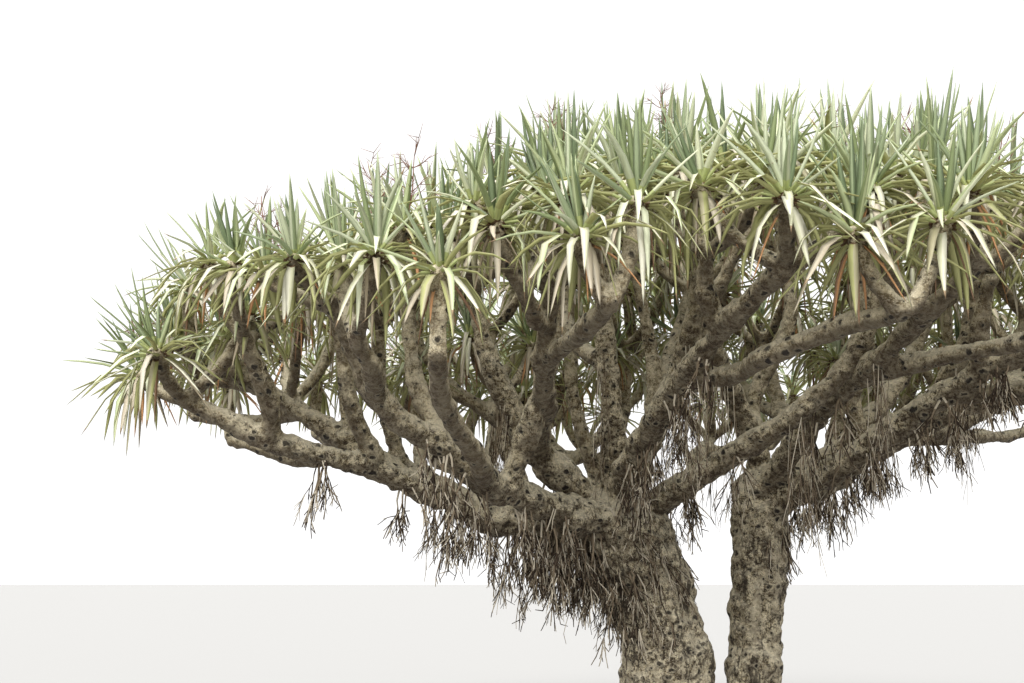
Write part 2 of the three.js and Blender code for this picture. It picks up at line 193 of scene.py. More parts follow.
# The shares of a bough where side limbs may start, how far ahead its direction is read, and what a limb's
# way costs: a metre across, a metre up, a turn back along the bough, each side limb that starts within
# CROWD_REACH, and a start less than LOWEST_RISE below its end.
START_SHARES = np.arange(0.16, 0.93, 0.04)
AHEAD = 0.02
CROWD_REACH = 0.3
LOWEST_RISE = 0.05
ROUTE_COSTS = {"across": 1.0, "up": 0.3, "back": 0.9, "crowd": 0.45, "too_high": 50}

# The wood's skin.
SKIN_VOXELS = {"left": 0.025, "back": 0.03, "right": 0.027}
STEM_SIDES = 48
STEM_ROWS = 41
STEM_ROW_POWER = 1.25
LIMB_SIDES = 20
LIMB_STEP = 0.07
TWIG_SIDES = 14
TWIG_ROWS = 10
# the last rings of a twig's head: how far above its place, and radius
HEAD_CAP = ((0.035, 0.046), (0.055, 0.02))
BASE_SWELL = 0.2
BASE_SWELL_LENGTH = 0.18
SMOOTH_PASSES = 3
SMOOTH_LOSS = 0.004
# how far apart the grain of two limbs starts, and how many points look for their limb at once
GRAIN_GAP = 5.3
POINTS_AT_ONCE = 4000
# Lumps of the bark: how many in a metre, and their height, which is lower on a thin limb.
LUMPS = ((3.0, 0.034), (7.5, 0.03), (16.0, 0.02))
LUMPY_RADIUS = 0.11
LUMP_SHARES = (0.45, 1.1)
LUMP_POWER = 1.3
# Wrinkles, and ridges up the stems: how many in a metre, their squeeze along the limb, and their height.
WRINKLES = (12.0, 2.0, 0.004)
RIDGES = (8.0, 0.16, 0.045)
RIDGE_TOP = 2.15
RIDGE_FADE = 0.4
# Old scars: how many in a metre, squeeze, radius, depth, and how their size changes from patch to patch.
PITS_PER_METRE = 7.5
PIT_SQUEEZE = 1.8
PIT_RADIUS = 0.03
PIT_DEPTH = 0.02
PIT_SIZES = {"mean": 0.75, "swing": 0.75, "least": 0.05, "patches_per_metre": 5}
# how much thicker than a twig a limb with full old bark is
AGED_RADIUS = 0.055
# lower points of the skin are set on the ground
GROUND_CUT = 0.02

DIVISIONS = 200
UP = np.array([0.0, 0.0, 1.0])
# a slanting direction, which no limb starts along
SLANT = (0.61, 0.53, 0.59)


class RandomSource:
    """A small repeatable source of random numbers, the same as the solids have."""

    def __init__(self, seed):
        self.state = (seed * 2654435761) & 0xFFFFFFFF

    def __call__(self, low, high):
        self.state = (self.state * 1664525 + 1013904223) & 0xFFFFFFFF
        return low + (high - low) * (self.state / 4294967296)


def unit(vectors):
    return vectors / np.linalg.norm(vectors, axis=-1, keepdims=True)


def smooth_step(share):
    share = np.clip(share, 0, 1)
    return share * share * (3 - 2 * share)


def toward(bearing, rise=0.0):
    return np.array([math.cos(bearing), math.sin(bearing), rise])


def crown_edge(bearing):
    """How far out the rosettes go at a bearing: an oval that is nearer on the front side."""
    deep = np.where(np.sin(bearing) < 0, CROWN_EDGE["front"], CROWN_EDGE["back"])
    return 1 / np.hypot(np.cos(bearing) / CROWN_EDGE["side"], np.sin(bearing) / deep)


def crown_height(point):
    x, y = point[0] - CROWN_AXIS[0], point[1] - CROWN_AXIS[1]
    return CROWN_TOP + CROWN_TILT * x - DROP_AT_METRE * math.hypot(x, DEEP_STRETCH * y) ** DROP_POWER


def on_crown(bearing, reach):
    place = CROWN_AXIS + reach * toward(bearing)
    place[2] = crown_height(place)
    return place


def distances_along(points):
    """How far along their line each of some points is."""
    return np.concatenate([[0], np.cumsum(np.linalg.norm(np.diff(points, axis=0), axis=1))])


class Curve:
    """A line through space, read by its share of the length. place takes an array of parameters."""

    def __init__(self, place):
        self.place = place
        self.parameters = np.linspace(0, 1, DIVISIONS + 1)
        self.reached = distances_along(place(self.parameters))
        self.length = self.reached[-1]

    def at(self, share):
        wanted = np.asarray(share, float) * self.length
        return self.place(np.interp(wanted, self.reached, self.parameters))


def bend_curve(start, bend, end):
    """The smooth line from start to end that leans towards bend."""
    def place(parameter):
        t = np.asarray(parameter, float)[..., None]
        return (1 - t) ** 2 * start + 2 * t * (1 - t) * bend + t ** 2 * end

    return Curve(place)


def knot_curve(points):
    """The smooth line through some points, as the solids' boughs follow it."""
    points = np.array(points)
    last = len(points) - 2
    run = np.array([2 * points[0] - points[1], *points, 2 * points[-1] - points[-2]])

    def place(parameter):
        t = np.asarray(parameter, float) * (last + 1)
        first = np.clip(np.floor(t).astype(int), 0, last)
        w = (t - first)[..., None]
        before, start, end, after = (run[first + k] for k in range(4))
        leaving, coming = 0.5 * (end - before), 0.5 * (after - start)
        square = 3 * (end - start) - 2 * leaving - coming
        cube = 2 * (start - end) + leaving + coming
        return start + leaving * w + square * w ** 2 + cube * w ** 3

    return Curve(place)


class Limb(namedtuple("Limb", "curve radius_at group")):
    """A stem, bough or side limb: its middle line, its radius at a share of it, and its group of wood."""

    def point(self, share):
        if share <= 1:
            return self.curve.at(share)
        return self.curve.at(1) + UP * (share - 1) * self.curve.length


# Where a rosette sits: its place and axis, the twig that carries it, and the mass it belongs to.
Head = namedtuple("Head", "place axis curve mass")


def kinked_curve(seed, start, kind, tip):
    """Out low, then up to the tip, with a kink at each old fork."""
    random = RandomSource(seed)
    bend = start + (tip - start) * kind.spread
    bend[2] = start[2] + kind.lift * (tip[2] - start[2])
    smooth = bend_curve(start, bend, tip)
    knots = max(2, math.floor(smooth.length / KNOT_STEP + 0.5))
    points = smooth.at(np.arange(knots + 1) / knots)
    for point in points[1:-1]:
        point += [random(-kind.kink, kind.kink) for _ in range(3)]
    return knot_curve(points), knots


def knuckled(root_radius, tip_radius, knots):
    """The radius along a limb, a little thicker at each old fork."""
    def radius_at(share):
        taper = tip_radius + (root_radius - tip_radius) * (1 - share) ** TAPER_POWER
        return taper * (1 + KNUCKLE * np.cos(2 * np.pi * knots * share))

    return radius_at


def stem_radius(name, height):
    stem = STEMS[name]
    crotch = stem["crotch"] * np.exp(-(stem["head"][2] - height) / CROTCH_HEIGHT)
    return stem["waist"] + stem["flare"] * np.exp(-height / FLARE_HEIGHT) + crotch


def stem_curve(name):
    foot, head = np.array(STEMS[name]["foot"], float), np.array(STEMS[name]["head"], float)
    middle = (foot + head) / 2 + [STEMS[name]["bow"], 0, 0]
    return bend_curve(foot, middle, head)


def grow_limbs():
    """The stems and boughs of the solids, by name, from the same rules."""
    limbs = {}
    for name, group in (("trunk_main", "left"), ("trunk_second", "right")):
        limbs[name] = Limb(stem_curve(name), None, group)
    for i, bough in enumerate(BOUGHS):
        kind, parent = KINDS[bough.kind], limbs[bough.parent]
        tip = on_crown(math.radians(bough.bearing), bough.reach)
        tip[2] -= kind.drop
        curve, knots = kinked_curve(SEEDS["bough"] + i, parent.point(bough.share), kind, tip)
        behind = bough.parent == "trunk_main" and BACK_BEARINGS[0] < bough.bearing < BACK_BEARINGS[1]
        radius_at = knuckled(bough.root_radius, BOUGH_TIP_RADIUS, knots)
        limbs[bough.name] = Limb(curve, radius_at, "back" if behind else parent.group)
    return limbs


def read_points(mesh, kind="co"):
    points = np.empty(len(mesh.vertices) * 3)
    mesh.vertices.foreach_get(kind, points)
    return points.reshape(-1, 3)


def head_axis(place):
    out = (place - CROWN_AXIS) * [1, 1, 0]
    far = np.linalg.norm(out)
    lean = math.radians(HEAD_LEAN) * (far / CROWN_EDGE["side"]) ** 2
    return out / far * math.sin(lean) + UP * math.cos(lean)


def twig_curve(fork, end):
    bend = fork + (end - fork) * TWIG_BEND["spread"]
    bend[2] = fork[2] + TWIG_BEND["lift"] * (end[2] - fork[2])
    return bend_curve(fork, bend, end)


def mass_heads(i, bough, limb):
    """The rosettes of one mass, drawn as its solid draws them, without twigs that the solid left out."""
    random = RandomSource(SEEDS["foliage"] + i)
    solid = read_points(frame["nodes"]["foliage_" + bough.name].data)
    tip = limb.curve.at(1)
    fork = tip + unit(tip - limb.curve.at(NEAR_TIP)) * FORK_LENGTH
    first_turn = random(0, 360)
    heads = []
    for k in range(TWIGS):
        jitter = random(-TWIG_TURN_JITTER, TWIG_TURN_JITTER)
        turn = math.radians(first_turn + 360 / TWIGS * k + jitter)
        end = fork + random(*TWIG_SPREAD) * toward(turn)
        height = random(-HEAD_HEIGHT_JITTER, HEAD_HEIGHT_JITTER)
        out = (end - CROWN_AXIS) * [1, 1, 0]
        far = min(np.linalg.norm(out), crown_edge(math.atan2(out[1], out[0])))
        end = CROWN_AXIS + unit(out) * far
        end[2] = crown_height(end) - KINDS[bough.kind].sink + height
        if nearest(solid, end) > FOUND_WITHIN:
            continue
        random(0, 360)
        heads.append(Head(end, head_axis(end), twig_curve(fork, end), i))
    return heads


def nearest(points, place):
    return np.linalg.norm(np.array(points) - place, axis=1).min()


def fill_places(heads):
    """More rosettes between those of the masses, on a sunflower's spiral over the dome."""
    random = RandomSource(SEEDS["fill"])
    found = [np.array(place) for place in LIFTED_PLACES]
    taken = [head.place for head in heads] + found
    for k in range(FILL_POINTS):
        bearing = math.radians(GOLDEN_ANGLE) * k
        place = on_crown(bearing, FILL_EDGE * math.sqrt((k + 0.5) / FILL_POINTS) * crown_edge(bearing))
        place[2] += random(*FILL_RISE)
        room = min(np.min(place[:2] - cad_box[0][:2]), np.min(cad_box[1][:2] - place[:2]))
        if room > LEAF_ROOM and nearest(taken, place) > HEAD_SPACING:
            taken.append(place)
            found.append(place)
    return found


def shaded_places(heads):
    """Rosettes below the dome, which close the gaps between the boughs from behind."""
    random = RandomSource(SEEDS["shaded"])
    taken, found = [head.place for head in heads], []
    for k in range(SHADED_POINTS):
        bearing = math.radians(GOLDEN_ANGLE) * (k + 0.5)
        share = SHADED_BAND[0] + (SHADED_BAND[1] - SHADED_BAND[0]) * math.sqrt(k / SHADED_POINTS)
        place = on_crown(bearing, share * crown_edge(bearing))
        place[2] -= random(*SHADED_DROP)
        kept = place[1] > SHADED_FRONT and place[2] > SHADED_LOWEST
        if kept and nearest(taken, place) > SHADED_SPACING:
            taken.append(place)
            found.append(place)
    return found


def clusters(places):
    """The places taken in twos and threes that lie near each other."""
    left = list(places)
    while left:
        first = left.pop(0)
        left.sort(key=lambda place: np.linalg.norm(place - first))
        near = [p for p in left[:CLUSTER_SIZE - 1] if np.linalg.norm(p - first) < CLUSTER_REACH]
        left = left[len(near):]
        yield [first, *near]
        left.sort(key=lambda place: (-place[2], place[0]))


def side_limbs(limbs, places, mass_tips, seed):
    """A limb from a bough below to each cluster of places, where it forks into their twigs."""
    spots = []
    for bough in BOUGHS:
        for share in START_SHARES:
            place, ahead = limbs[bough.name].curve.at([share, share + AHEAD])
            spots.append((place, unit(ahead - place), limbs[bough.name], share))
    ground, forward = (np.array([spot[k] for spot in spots]) for k in (0, 1))
    used, grown, heads = [], [], []
    for number, group in enumerate(clusters(places)):
        middle = np.mean(group, axis=0)
        fork = middle - UP * CLUSTER_FORK
        apart = fork - ground
        rise = apart[:, 2]
        costs = {
            "across": np.hypot(apart[:, 0], apart[:, 1]),
            "up": rise,
            "back": 1 - (unit(apart) * forward).sum(axis=1),
            "crowd": sum((np.linalg.norm(ground - place, axis=1) < CROWD_REACH) * 1.0 for place in used),
            "too_high": rise < LOWEST_RISE,
        }
        cost = sum(ROUTE_COSTS[name] * costs[name] for name in costs)
        start, _, parent, share = spots[int(np.argmin(cost))]
        used.append(start)
        curve, knots = kinked_curve(seed + number, start, KINDS["side"], fork)
        thick = min(SIDE_LIMB_RADIUS, SIDE_LIMB_SHARE * parent.radius_at(share))
        grown.append(Limb(curve, knuckled(thick, SIDE_LIMB_TIP, knots), parent.group))
        mass = int(np.argmin(np.linalg.norm(mass_tips - middle, axis=1)))
        heads += [Head(place, head_axis(place), twig_curve(fork, place), mass) for place in group]
    return grown, heads


def frames_along(lines):
    """The direction of many lines at each of their points, and two across that turn with it."""
    along = unit(np.gradient(lines, axis=1))
    across = np.empty_like(along)
    held = np.cross(along[:, 0], SLANT)
    for row in range(lines.shape[1]):
        held = unit(held - along[:, row] * (held * along[:, row]).sum(1, keepdims=True))
        across[:, row] = held
    return along, across, np.cross(along, across)


def ring_quads(number):
    """The corners of the quads between rings, from the numbers of the rings' points."""
    turned = np.roll(number, -1, axis=-1)
    corners = number[..., :-1, :], turned[..., :-1, :], turned[..., 1:, :], number[..., 1:, :]
    return np.stack(corners, axis=-1)


def add_object(name, data):
    made = bpy.data.objects.new(name, data)
    bpy.context.scene.collection.objects.link(made)
    return made


class Shape:
    """Points and faces that are gathered up and then made into one mesh."""

    def __init__(self):
        self.points = []
        self.faces = []
        self.finishes = []
        self.count = 0

    def add(self, points, faces):
        """faces is a list of pairs: rows of point numbers, and the number of each row's finish."""
        for rows, finish in faces:
            self.faces.append(rows + self.count)
            self.finishes.append(np.broadcast_to(finish, len(rows)))
        self.points.append(points)
        self.count += len(points)

    def add_tubes(self, lines, radii, sides, finish=0):
        """Closed tubes along many lines of as many points each. finish may change along them."""
        count, rows = lines.shape[:2]
        _, across, beside = frames_along(lines)
        turn = (np.arange(sides) * 2 * np.pi / sides)[:, None]
        ring = np.cos(turn) * across[:, :, None] + np.sin(turn) * beside[:, :, None]
        points = lines[:, :, None] + np.broadcast_to(radii, (count, rows))[:, :, None, None] * ring
        number = np.arange(count * rows * sides).reshape(count, rows, sides)
        finish = np.broadcast_to(finish, (count, rows - 1))
        faces = [
            (ring_quads(number).reshape(-1, 4), np.repeat(finish.ravel(), sides)),
            (number[:, 0, ::-1], finish[:, 0]),
            (number[:, -1], finish[:, -1]),
        ]
        self.add(points.reshape(-1, 3), faces)

    def build(self, name, materials):
        mesh = bpy.data.meshes.new(name)
        points = np.concatenate(self.points).astype(np.float32)
        sizes = np.concatenate([np.full(len(rows), rows.shape[1]) for rows in self.faces])
        starts = np.concatenate([[0], np.cumsum(sizes)[:-1]]).astype(np.int32)
        corners = np.concatenate([rows.ravel() for rows in self.faces]).astype(np.int32)
        mesh.vertices.add(len(points))
        mesh.vertices.foreach_set("co", points.ravel())
        mesh.loops.add(len(corners))
        mesh.loops.foreach_set("vertex_index", corners)
        mesh.polygons.add(len(sizes))
        mesh.polygons.foreach_set("loop_start", starts)
        mesh.polygons.foreach_set("material_index", np.concatenate(self.finishes).astype(np.int32))
        mesh.polygons.foreach_set("use_smooth", np.full(len(sizes), True))
        for material in materials:
            mesh.materials.append(material)
        mesh.update(calc_edges=True)
        return add_object(name, mesh)


class Wood(Shape):
    """The limbs of one group, and the middle line of each for the bark to follow."""

    def __init__(self):
        super().__init__()
        self.spines = []

    def follow(self, line, radii):
        """Each row: a point, the three directions there, the distance along so far and the radius."""
        frames = [part[0] for part in frames_along(line[None])]
        reached = distances_along(line) + GRAIN_GAP * len(self.spines)
        self.spines.append(np.column_stack([line, *frames, reached, radii]))

    def add_limb(self, line, radii, sides):
        self.add_tubes(line[None], radii[None] + SMOOTH_LOSS, sides)
        self.follow(line, radii)

    def add_stem(self, name):
        """A stem of level rings, with root lobes at the ground and a rounded head above the fork."""
        stem, curve = STEMS[name], stem_curve(name)
        centres = list(curve.place(np.linspace(0, 1, STEM_ROWS) ** STEM_ROW_POWER))
        radii = [float(stem_radius(name, centre[2])) for centre in centres]
        lobed = [LOBE_DEPTH * math.exp(-centre[2] / FLARE_HEIGHT) for centre in centres]
        for share, rise in STEM_CROWN:
            centres.append(np.array(stem["head"]) + UP * rise)
            radii.append(float(stem_radius(name, stem["head"][2])) * share)
            lobed.append(0)
        centres, radii, lobed = np.array(centres), np.array(radii), np.array(lobed)
        turn = np.arange(STEM_SIDES) * 2 * np.pi / STEM_SIDES
        ring = np.stack([np.sin(turn), -np.cos(turn), np.zeros(STEM_SIDES)], axis=-1)
        wide = radii[:, None] * (1 + lobed[:, None] * np.cos(stem["lobes"] * turn))
        points = centres[:, None] + wide[:, :, None] * ring
        number = np.arange(len(centres) * STEM_SIDES).reshape(-1, STEM_SIDES)
        quads = ring_quads(number).reshape(-1, 4)
        self.add(points.reshape(-1, 3), [(quads, 0), (number[:1, ::-1], 0), (number[-1:], 0)])
        self.follow(centres, radii)

    def grain_at(self, places):
        """Two distances across the nearest limb and the one along it, and the limb's radius there."""
        spine = np.concatenate(self.spines).astype(np.float32)
        found = []
        for part in np.array_split(places.astype(np.float32), 1 + len(places) // POINTS_AT_ONCE):
            apart = (part ** 2).sum(1)[:, None] + (spine[:, :3] ** 2).sum(1) - 2 * part @ spine[:, :3].T
            found.append(np.argmin(np.sqrt(np.maximum(apart, 0)) - spine[:, -1], axis=1))
        near = spine[np.concatenate(found)]
        offset = places - near[:, :3]
        along, across, beside = ((offset * near[:, k:k + 3]).sum(1) for k in (3, 6, 9))
        reached, thick = near[:, 12:].T
        return np.stack([across, beside, reached + along], axis=-1), thick


def limb_line(limb, past=0.0):
    """Points and radii along a limb, with the swelling at its base. past carries it on beyond its tip."""
    shares = np.linspace(0, 1, max(3, math.ceil(limb.curve.length / LIMB_STEP)) + 1)
    points, radii = limb.curve.at(shares), limb.radius_at(shares)
    radii = radii * (1 + BASE_SWELL * np.exp(-shares * limb.curve.length / BASE_SWELL_LENGTH))
    if past:
        end = points[-1] + unit(points[-1] - points[-2]) * past
        points, radii = np.vstack([points, end]), np.append(radii, radii[-1])
    return points, radii


def twig_line(head):
    """Points and radii along a twig, with the swollen, rounded head that the leaves stand on."""
    shares = np.linspace(0, 1, TWIG_ROWS)
    radii = TWIG_RADIUS + (HEAD_RADIUS - TWIG_RADIUS) * shares ** 3
    cap = [head.place + head.axis * rise for rise, _ in HEAD_CAP]
    return np.vstack([head.curve.at(shares), *cap]), np.append(radii, [radius for _, radius in HEAD_CAP])


def noise_at(points):
    return np.array([noise.noise(point) for point in points])


def add_relief(mesh, wood):
    """Lumps, wrinkles and old scars in the bark. For the paint, the attribute hollow says how deep in a
    scar a point is, and age how thick its limb is."""
    places, normals = read_points(mesh), read_points(mesh, "normal")
    grain, thick = wood.grain_at(places)
    rise = np.zeros(len(places))
    for per_metre, height in LUMPS:
        rise += height * noise_at(places * per_metre)
    rise *= np.clip(thick / LUMPY_RADIUS, *LUMP_SHARES) ** LUMP_POWER
    per_metre, squeeze, height = RIDGES
    low = smooth_step((RIDGE_TOP - places[:, 2]) / RIDGE_FADE)
    rise += height * low * noise_at(places * per_metre * [1, 1, squeeze])
    per_metre, squeeze, height = WRINKLES
    rise += height * noise_at(grain * per_metre * [1, 1, squeeze])
    pits = grain * PITS_PER_METRE * [1, 1, PIT_SQUEEZE]
    gap = np.array([noise.voronoi(pit)[0][0] for pit in pits]) ** 0.5 / PITS_PER_METRE
    size = PIT_SIZES["mean"] + PIT_SIZES["swing"] * noise_at(places * PIT_SIZES["patches_per_metre"])
    hollow = 1 - smooth_step(gap / (PIT_RADIUS * np.maximum(size, PIT_SIZES["least"])))
    rise -= PIT_DEPTH * hollow
    moved = places + normals * rise[:, None]
    moved[places[:, 2] < GROUND_CUT, 2] = 0
    moved[:, 2] = np.maximum(moved[:, 2], 0)
    mesh.vertices.foreach_set("co", moved.astype(np.float32).ravel())
    for name, values in (("hollow", hollow), ("age", smooth_step((thick - TWIG_RADIUS) / AGED_RADIUS))):
        mesh.attributes.new(name, "FLOAT", "POINT").data.foreach_set("value", values.astype(np.float32))
    mesh.update()


def skin_wood(name, wood, voxel, material):
    """One skin round all the limbs of a group, softened at the forks, with the bark's relief on it."""
    rough = wood.build(name + "_rough", [])
    remesh = rough.modifiers.new("skin", "REMESH")
    remesh.mode = "VOXEL"
    remesh.voxel_size = voxel
    soften = rough.modifiers.new("soften", "SMOOTH")
    soften.iterations = SMOOTH_PASSES
    mesh = bpy.data.meshes.new_from_object(rough.evaluated_get(bpy.context.evaluated_depsgraph_get()))
    bpy.data.objects.remove(rough)
    mesh.name = name
    mesh.materials.clear()
    mesh.materials.append(material)
    add_relief(mesh, wood)
    mesh.polygons.foreach_set("use_smooth", np.full(len(mesh.polygons), True))
    return add_object(name, mesh)


# Leaves, by kind, from the closed spear in the middle to the dead ones underneath: how many, how far one
# may stray, the rise of the first and last and their droop (all in degrees), by which share of the length
# they have drooped, length, width, how deeply they are folded, how far up the head and how far out they
# start, their tints, the tints of their base, and the chance of a brown tip.
LeafKind = namedtuple("LeafKind", "number stray rise droop by length width fold up out tints base brown")
LEAF_KINDS = {name: LeafKind(*facts) for name, *facts in (
    ("spear", 4, 3, (85, 75), (-15, -4), (0.5, 0.9), (0.4, 0.64), 0.05, 1.4,
     (0.05, 0.035), (0.012, 0.028), ("spear_blue", "spear_grey", "spear_deep", "erect_deep"),
     ("base_green", None), 0),
    ("erect", 9, 10, (76, 34), (-12, 32), (0.7, 1.0), (0.36, 0.66), 0.046, 1.2,
     (0.04, 0.0), (0.022, 0.038), ("erect_green", "erect_light", "erect_deep", "spear_grey"),
     ("base_yellow", "base_green"), 0.06),
    ("spreading", 12, 10, (44, 2), (34, 92), (0.42, 0.95), (0.5, 0.7), 0.049, 0.9,
     (0.0, -0.02), (0.036, 0.05), ("spread_pale", "spread_green", "spread_cream", "erect_light"),
     ("base_rust", "base_green"), 0.15),
    ("hanging", 14, 12, (14, -38), (14, 60), (0.35, 0.9), (0.44, 0.66), 0.054, 0.7,
     (-0.02, -0.055), (0.05, 0.054), ("hang_cream", "hang_olive", "hang_straw", "spread_pale"),
     ("base_rust", None), 0.35),
    ("dead", 4, 10, (-44, -66), (14, 26), (0.3, 0.8), (0.3, 0.54), 0.028, 1.1,
     (-0.06, -0.11), (0.052, 0.054), ("dead_orange", "dead_brown", "dead_grey", "dead_grey"),
     ("dead_brown", None), 0),
)}
# What changes from rosette to rosette: the leaves' length, how limp they are, how the axis leans and how
# many more leaves there are. Then from leaf to leaf: bearing, width, fold, and how it veers and twists.
ROSETTE = {"vigour": (0.82, 1.08), "limp": (-8, 12), "lean": 0.13, "more": (-2, 3)}
LEAF = {
    "turn": (-12, 12), "width": (0.78, 1.15), "fold": (0.7, 1.3),
    "veer": (-1.6, 1.6), "twist": (-3.2, 3.2),
}
# the steepest that a leaf falls, in degrees
STEEPEST = -87
# The chance that a leaf has the rosette's tint, that its halves differ with one in painted shade, and that
# its base's tint goes on.
TINT_CHANCES = {"same": 0.55, "halves": 0.7, "base": 0.6}
STATIONS = (0, 2, 8, 18, 28, 35, 40)
STATION_WIDTHS = (0.84, 0.84, 1.0, 0.92, 0.62, 0.32)
STATION_CHANNELS = (0.55, 0.46, 0.36, 0.28, 0.22, 0.18)
LEAF_THICKNESS = 0.006
LEAF_PIECES = 3

# Colours, as they look in daylight (red, green, blue from 0 to 255). Several tints also serve as deeper
# copies of others, as painted shade on leaves.
COLOURS = {
    "spear_blue": (138, 150, 114), "spear_grey": (176, 182, 151), "spear_deep": (98, 112, 78),
    "erect_green": (170, 179, 135), "erect_light": (204, 207, 175), "erect_deep": (122, 134, 90),
    "spread_pale": (197, 194, 172), "spread_green": (183, 182, 150), "spread_cream": (191, 183, 164),
    "hang_cream": (179, 169, 148), "hang_olive": (159, 152, 120), "hang_straw": (171, 159, 136),
    "base_yellow": (188, 194, 126), "base_green": (170, 178, 118), "base_rust": (102, 78, 52),
    "under_green": (156, 156, 102), "dead_orange": (192, 142, 96), "dead_brown": (128, 98, 72),
    "dead_grey": (162, 148, 122), "tip_brown": (142, 120, 90),
}
LEAF_FINISHES = {name: number for number, name in enumerate(COLOURS)}
# The deeper finish that the second half of a leaf may have, and its underside: painted shade on one side
# of the fold.
FOLD_SHADE_TINTS = {
    "spear_grey": "spear_blue", "spear_blue": "spear_deep", "erect_light": "erect_green",
    "erect_green": "erect_deep", "spread_pale": "spread_green", "spread_green": "erect_green",
    "spread_cream": "spread_green", "hang_cream": "hang_straw", "hang_straw": "hang_olive",
    "hang_olive": "under_green",
}


def plan_rosette(head, number):
    """One row of facts for each leaf of a rosette."""
    random = np.random.default_rng(SEEDS["rosette"] + number)
    vigour = random.uniform(*ROSETTE["vigour"])
    limp = random.uniform(*ROSETTE["limp"])
    first = random.uniform(0, 360)
    mood = int(random.integers(0, 4))
    axis = unit(head.axis + random.normal(0, ROSETTE["lean"], 3))
    east = unit(np.cross((0.0, 1.0, 0.0), axis))
    north = np.cross(axis, east)

    def finish_leaf(kind):
        """A row for each stretch from base to tip, a column for each side: two above and two below."""
        tints = LEAF_KINDS[kind].tints
        same = random.random() < TINT_CHANCES["same"]
        tint = tints[mood] if same else tints[int(random.integers(0, 4))]
        halves = (tint, tint)
        # one half may take the deeper tint: painted shade on one side of the fold
        if random.random() < TINT_CHANCES["halves"]:
            halves = random.permutation([tint, FOLD_SHADE_TINTS.get(tint, tint)])
        # undersides: spears, erect and dead leaves take the halves swapped, the others a darker green that
        # is partly their own underside tint, partly painted shade
        below = halves[::-1] if kind in ("spear", "erect", "dead") else ("under_green",) * 2
        rows = [[*halves, *below] for _ in STATIONS[1:]]
        for row, tint in enumerate(LEAF_KINDS[kind].base):
            if tint and (row == 0 or random.random() < TINT_CHANCES["base"]):
                rows[row] = [tint] * 4
        if random.random() < LEAF_KINDS[kind].brown:
            rows[-1] = ["tip_brown"] * 4
        return [[LEAF_FINISHES[tint] for tint in row] for row in rows]

    rows, k = [], 0
    for kind, facts in LEAF_KINDS.items():
        count = facts.number + int(random.integers(*ROSETTE["more"]))
        stray = facts.stray
        for j in range(count):
            share = j / max(1, count - 1)
            bearing = math.radians(first + GOLDEN_ANGLE * k + random.uniform(*LEAF["turn"]))
            k += 1
            out = east * math.cos(bearing) + north * math.sin(bearing)
            ends = (facts.up, facts.out, facts.rise)
            up, wide, rise = (np.interp(share, (0, 1), pair) for pair in ends)
            rise = math.radians(rise + random.uniform(-stray, stray))
            rows.append({
                "root": head.place + axis * up + out * wide,
                "aim": out * math.cos(rise) + axis * math.sin(rise),
                "droop": math.radians(random.uniform(*facts.droop) + limp * stray / 10),
                "by": random.uniform(*facts.by),
                "length": random.uniform(*facts.length) * vigour,
                "width": facts.width * random.uniform(*LEAF["width"]),
                "fold": facts.fold * random.uniform(*LEAF["fold"]),
                "veer": math.radians(random.uniform(*LEAF["veer"]) * stray),
                "twist": math.radians(random.uniform(*LEAF["twist"]) * stray),
                "finish": finish_leaf(kind),
            })
    return rows


def add_leaves(shape, rows):
    """Keeled blades, many at once, each bent down by its own weight."""
    facts = {name: np.array([row[name] for row in rows]) for name in rows[0]}
    root, aim, finish = (facts.pop(name) for name in ("root", "aim", "finish"))
    droop, by, length, width, fold, veer, twist = (values[:, None] for values in facts.values())
    steps = STATIONS[-1]
    share = (np.arange(steps) + 0.5) / steps
    rise = np.arcsin(np.clip(aim[:, 2:], -1, 1)) - droop * smooth_step(share / by)
    rise = np.maximum(rise, math.radians(STEEPEST))
    heading = np.arctan2(aim[:, 1:2], aim[:, :1]) + veer * share ** 2
    level = np.cos(rise)
    step = np.stack([level * np.cos(heading), level * np.sin(heading), np.sin(rise)], axis=-1)
    reached = np.concatenate([np.zeros((len(rows), 1, 3)), np.cumsum(step, axis=1)], axis=1)
    middle = root[:, None] + reached * (length / steps)[:, :, None]
    at = np.array(STATIONS)
    before = np.minimum(at, steps - 1)
    places, along, turn = middle[:, at], step[:, before], heading[:, before]
    side = np.stack([-np.sin(turn), np.cos(turn), np.zeros_like(turn)], axis=-1)
    above = np.cross(side, along) * -1
    roll = (twist * (at / steps))[..., None]
    side, above = side * np.cos(roll) + above * np.sin(roll), above * np.cos(roll) - side * np.sin(roll)
    half = (width / 2 * np.array(STATION_WIDTHS))[..., None]
    channel = half * np.array(STATION_CHANNELS)[:, None] * fold[..., None]
    centre, side, above = places[:, :-1], side[:, :-1], above[:, :-1]
    section = np.stack([
        centre + side * half + above * channel,
        centre,
        centre - side * half + above * channel,
        centre - above * LEAF_THICKNESS,
    ], axis=2)
    count, rings = section.shape[:2]
    points = np.concatenate([section.reshape(count, -1, 3), places[:, -1:]], axis=1)
    each = rings * 4 + 1
    ring = np.arange(rings * 4).reshape(rings, 4)
    quads = ring_quads(ring)[..., [0, 3, 2, 1]].reshape(-1, 4)
    tips = np.stack([ring[-1], np.full(4, each - 1), np.roll(ring[-1], -1)], axis=-1)
    start = (np.arange(count) * each)[:, None, None]
    shape.add(points.reshape(-1, 3), [
        ((quads + start).reshape(-1, 4), finish[:, :-1].ravel()),
        ((tips + start).reshape(-1, 3), finish[:, -1].ravel()),
        ((ring[:1] + start).reshape(-1, 4), finish[:, 0, 0]),
    ])


